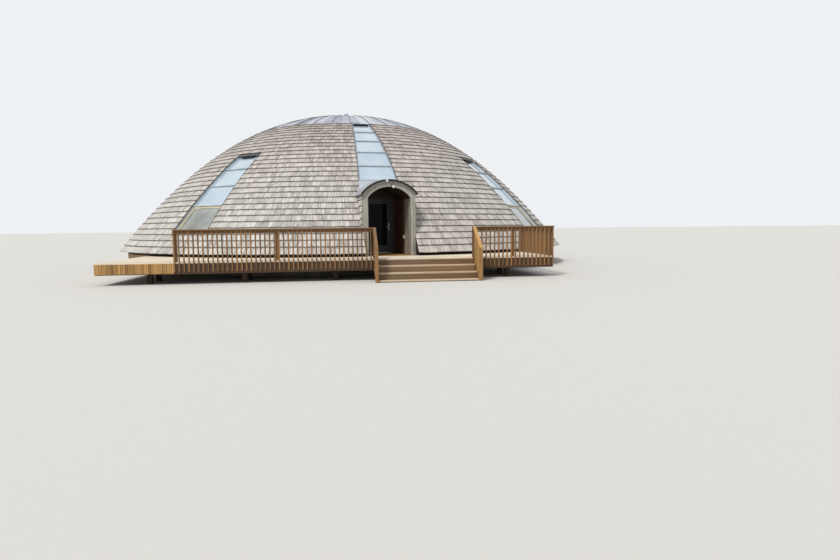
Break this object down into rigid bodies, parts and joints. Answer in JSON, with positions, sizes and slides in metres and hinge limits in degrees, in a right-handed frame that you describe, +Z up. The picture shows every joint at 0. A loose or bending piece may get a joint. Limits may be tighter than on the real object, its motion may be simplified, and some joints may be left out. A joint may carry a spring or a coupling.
{
  "type": "dome house",
  "caption": "Low timber dome house with a shingled shell, skylight strips, a metal cap, an arched porch with a glazed door, and a front deck with railings and steps.",
  "frame": {"origin": "where the dome's axis meets the ground, at the underside of the foundation slab", "axes": "+Z up along the dome's axis, -Y towards the deck's front edge and steps, +X to the right seen from the front; the porch and door face 7 degrees to the right of -Y"},
  "size_m": [19.1398, 21.3989, 6.767],
  "materials": {
    "concrete": "cast concrete",
    "floor_timber": "oiled boards",
    "dark_timber": "dark stained timber",
    "cedar_shakes": "weathered split shakes",
    "cap_metal": "pale blue-grey sheet",
    "frame_metal": "grey painted sheet",
    "black_metal": "satin black",
    "glass": "clear",
    "pale_timber": "varnished pine",
    "grey_timber": "weathered grey boards",
    "dark_roofing": "dark sheet edge",
    "white_plastic": "white",
    "brown_timber": "brown stain",
    "green_paint": "dark green paint",
    "steel": "satin",
    "deck_timber": "worn deck stain",
    "stained_timber": "orange-brown stain"
  },
  "bodies": {
    "house": {"foundation_slab": "concrete", "floor_platform": "floor_timber", "floor_boards": "floor_timber", "base_curb": "dark_timber", "dome_shell_1": "cedar_shakes", "dome_shell_2": "cedar_shakes", "dome_shell_3": "cedar_shakes", "dome_shell_4": "cedar_shakes", "dome_shell_5": "cedar_shakes", "dome_shell_6": "cedar_shakes", "dome_shell_7": "cedar_shakes", "dome_shell_8": "cedar_shakes", "window_bay_heads": "cedar_shakes", "window_bay_aprons": "cedar_shakes", "crown_shell": "dark_timber", "metal_cap": "cap_metal", "cap_vent": "cap_metal", "front_skylight_frame": "frame_metal", "front_skylight_glass": "glass", "side_skylight_frames": "frame_metal", "side_skylight_glass": "glass", "side_window_sashes": "pale_timber", "side_window_glass": "glass", "skylight_head_boxes": "black_metal", "porch_left_cheek": "grey_timber", "porch_right_cheek": "grey_timber", "porch_ceiling": "grey_timber", "porch_face_boards": "grey_timber", "porch_roof": "dark_roofing", "porch_flashing": "frame_metal", "porch_lamp": "white_plastic", "door_wall": "brown_timber", "door_frame": "green_paint", "door_threshold": "brown_timber", "door_hinge_plates": "steel", "deck_surface": "deck_timber", "deck_rim": "brown_timber", "deck_joists": "dark_timber", "deck_beams": "dark_timber", "deck_posts": "dark_timber", "deck_skirt": "stained_timber", "front_railing_left": "stained_timber", "front_railing_right": "stained_timber", "side_railing_right": "stained_timber", "stair_treads": "deck_timber", "stair_risers": "brown_timber", "stair_stringers": "dark_timber", "stair_rail_left": "stained_timber", "stair_rail_right": "stained_timber"},
    "door": {"door_leaf": "green_paint", "door_glass": "glass", "door_hinge_leaves": "steel", "door_handle": "steel"}
  },
  "joints": [
    {"name": "door_hinge", "type": "hinge", "parent": "house", "child": "door", "pos_m": [0.44238, -6.78667, 1.6], "axis": [0, 0, 1], "range_deg": [0, 95]}
  ]
}
